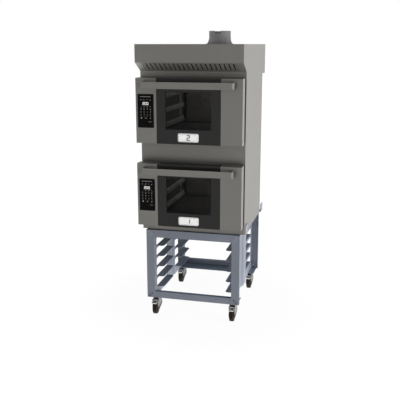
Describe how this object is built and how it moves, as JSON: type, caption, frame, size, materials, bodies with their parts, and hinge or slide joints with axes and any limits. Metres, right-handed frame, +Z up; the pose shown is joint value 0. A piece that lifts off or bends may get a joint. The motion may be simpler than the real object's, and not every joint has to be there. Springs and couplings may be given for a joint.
{
  "type": "double convection oven",
  "caption": "Stacked countertop convection ovens with drop-down glass doors under a louvred hood with a flue collar, on a folded-sheet tray-rack stand with braked casters.",
  "frame": {"origin": "on the floor, under the middle of the object's box", "axes": "+X to the right of someone facing the doors, -Y towards that person, +Z up"},
  "size_m": [0.608, 0.802, 1.661],
  "materials": {
    "oven_steel": "satin sheet steel, fine grain",
    "cavity_steel": "dull stainless sheet, darkened by heat",
    "rack_steel": "bright wire and strip",
    "motor_metal": "cast and pressed",
    "heater_tube": "oxidised dark tube",
    "door_glass": "black-bordered tempered glass",
    "inner_glass": "clear heat-proof glass",
    "panel_black": "gloss black touch panel",
    "flue_steel": "satin sheet steel",
    "filter_metal": "pressed slats",
    "gasket_rubber": "matt silicone",
    "hinge_steel": "plain",
    "gland_plastic": "moulded",
    "stand_paint": "blue-grey powder coat",
    "bolt_steel": "zinc plated",
    "caster_steel": "zinc plated pressed steel",
    "wheel_rubber": "dark solid rubber",
    "pedal_black": "dark coated"
  },
  "bodies": {
    "root": {"lower_chassis": "oven_steel", "lower_casing_wrap": "oven_steel", "lower_front_frame": "oven_steel", "lower_cavity": "cavity_steel", "lower_tray_racks": "rack_steel", "lower_fan_baffle": "cavity_steel", "lower_fan_motor": "motor_metal", "lower_heater": "heater_tube", "upper_chassis": "oven_steel", "upper_casing_wrap": "oven_steel", "upper_front_frame": "oven_steel", "upper_cavity": "cavity_steel", "upper_tray_racks": "rack_steel", "upper_fan_baffle": "cavity_steel", "upper_fan_motor": "motor_metal", "upper_heater": "heater_tube", "stacking_spacer": "oven_steel", "hood_shell": "oven_steel", "louvre_panel": "oven_steel", "flue_collar": "flue_steel", "grease_filter": "filter_metal", "door_gaskets": "gasket_rubber", "oven_pads": "gasket_rubber", "door_hinges": "hinge_steel", "cable_glands": "gland_plastic", "left_side_frame": "stand_paint", "right_side_frame": "stand_paint", "front_top_beam": "stand_paint", "front_bottom_beam": "stand_paint", "rear_top_beam": "stand_paint", "rear_bottom_beam": "stand_paint", "oven_retainers": "stand_paint", "frame_bolts": "bolt_steel", "caster_top_plates": "caster_steel"},
    "lower_door": {"lower_door_frame": "oven_steel", "lower_door_inner_panel": "oven_steel", "lower_door_glass": "door_glass", "lower_door_inner_glass": "inner_glass", "lower_handle": "oven_steel", "lower_control_fascia": "panel_black"},
    "lower_fan": {"lower_fan_wheel": "motor_metal"},
    "upper_door": {"upper_door_frame": "oven_steel", "upper_door_inner_panel": "oven_steel", "upper_door_glass": "door_glass", "upper_door_inner_glass": "inner_glass", "upper_handle": "oven_steel", "upper_control_fascia": "panel_black"},
    "upper_fan": {"upper_fan_wheel": "motor_metal"},
    "fork_front_left": {"caster_fork_front_left": "caster_steel"},
    "wheel_front_left": {"caster_wheel_front_left": "wheel_rubber"},
    "brake_front_left": {"caster_brake_front_left": "pedal_black"},
    "fork_front_right": {"caster_fork_front_right": "caster_steel"},
    "wheel_front_right": {"caster_wheel_front_right": "wheel_rubber"},
    "brake_front_right": {"caster_brake_front_right": "pedal_black"},
    "fork_rear_left": {"caster_fork_rear_left": "caster_steel"},
    "wheel_rear_left": {"caster_wheel_rear_left": "wheel_rubber"},
    "brake_rear_left": {"caster_brake_rear_left": "pedal_black"},
    "fork_rear_right": {"caster_fork_rear_right": "caster_steel"},
    "wheel_rear_right": {"caster_wheel_rear_right": "wheel_rubber"},
    "brake_rear_right": {"caster_brake_rear_right": "pedal_black"}
  },
  "joints": [
    {"name": "lower_door_drop", "type": "hinge", "parent": "root", "child": "lower_door", "pos_m": [0, -0.285, 0.588], "axis": [1, 0, 0], "range_deg": [0, 90]},
    {"name": "lower_fan_spin", "type": "hinge", "parent": "root", "child": "lower_fan", "pos_m": [0, 0.1885, 0.775], "axis": [0, 1, 0], "continuous": true},
    {"name": "upper_door_drop", "type": "hinge", "parent": "root", "child": "upper_door", "pos_m": [0, -0.285, 1.058], "axis": [1, 0, 0], "range_deg": [0, 90]},
    {"name": "upper_fan_spin", "type": "hinge", "parent": "root", "child": "upper_fan", "pos_m": [0, 0.1885, 1.245], "axis": [0, 1, 0], "continuous": true},
    {"name": "swivel_front_left", "type": "hinge", "parent": "root", "child": "fork_front_left", "pos_m": [-0.234, -0.216, 0.1], "axis": [0, 0, 1], "continuous": true},
    {"name": "roll_front_left", "type": "hinge", "parent": "fork_front_left", "child": "wheel_front_left", "pos_m": [-0.234, -0.246, 0.0375], "axis": [1, 0, 0], "continuous": true},
    {"name": "pedal_front_left", "type": "hinge", "parent": "fork_front_left", "child": "brake_front_left", "pos_m": [-0.234, -0.25, 0.0842], "axis": [1, 0, 0], "range_deg": [0, 14]},
    {"name": "swivel_front_right", "type": "hinge", "parent": "root", "child": "fork_front_right", "pos_m": [0.234, -0.216, 0.1], "axis": [0, 0, 1], "continuous": true},
    {"name": "roll_front_right", "type": "hinge", "parent": "fork_front_right", "child": "wheel_front_right", "pos_m": [0.234, -0.246, 0.0375], "axis": [1, 0, 0], "continuous": true},
    {"name": "pedal_front_right", "type": "hinge", "parent": "fork_front_right", "child": "brake_front_right", "pos_m": [0.234, -0.25, 0.0842], "axis": [1, 0, 0], "range_deg": [0, 14]},
    {"name": "swivel_rear_left", "type": "hinge", "parent": "root", "child": "fork_rear_left", "pos_m": [-0.234, 0.344, 0.1], "axis": [0, 0, 1], "continuous": true},
    {"name": "roll_rear_left", "type": "hinge", "parent": "fork_rear_left", "child": "wheel_rear_left", "pos_m": [-0.234, 0.314, 0.0375], "axis": [1, 0, 0], "continuous": true},
    {"name": "pedal_rear_left", "type": "hinge", "parent": "fork_rear_left", "child": "brake_rear_left", "pos_m": [-0.234, 0.31, 0.0842], "axis": [1, 0, 0], "range_deg": [0, 14]},
    {"name": "swivel_rear_right", "type": "hinge", "parent": "root", "child": "fork_rear_right", "pos_m": [0.234, 0.344, 0.1], "axis": [0, 0, 1], "continuous": true},
    {"name": "roll_rear_right", "type": "hinge", "parent": "fork_rear_right", "child": "wheel_rear_right", "pos_m": [0.234, 0.314, 0.0375], "axis": [1, 0, 0], "continuous": true},
    {"name": "pedal_rear_right", "type": "hinge", "parent": "fork_rear_right", "child": "brake_rear_right", "pos_m": [0.234, 0.31, 0.0842], "axis": [1, 0, 0], "range_deg": [0, 14]}
  ]
}
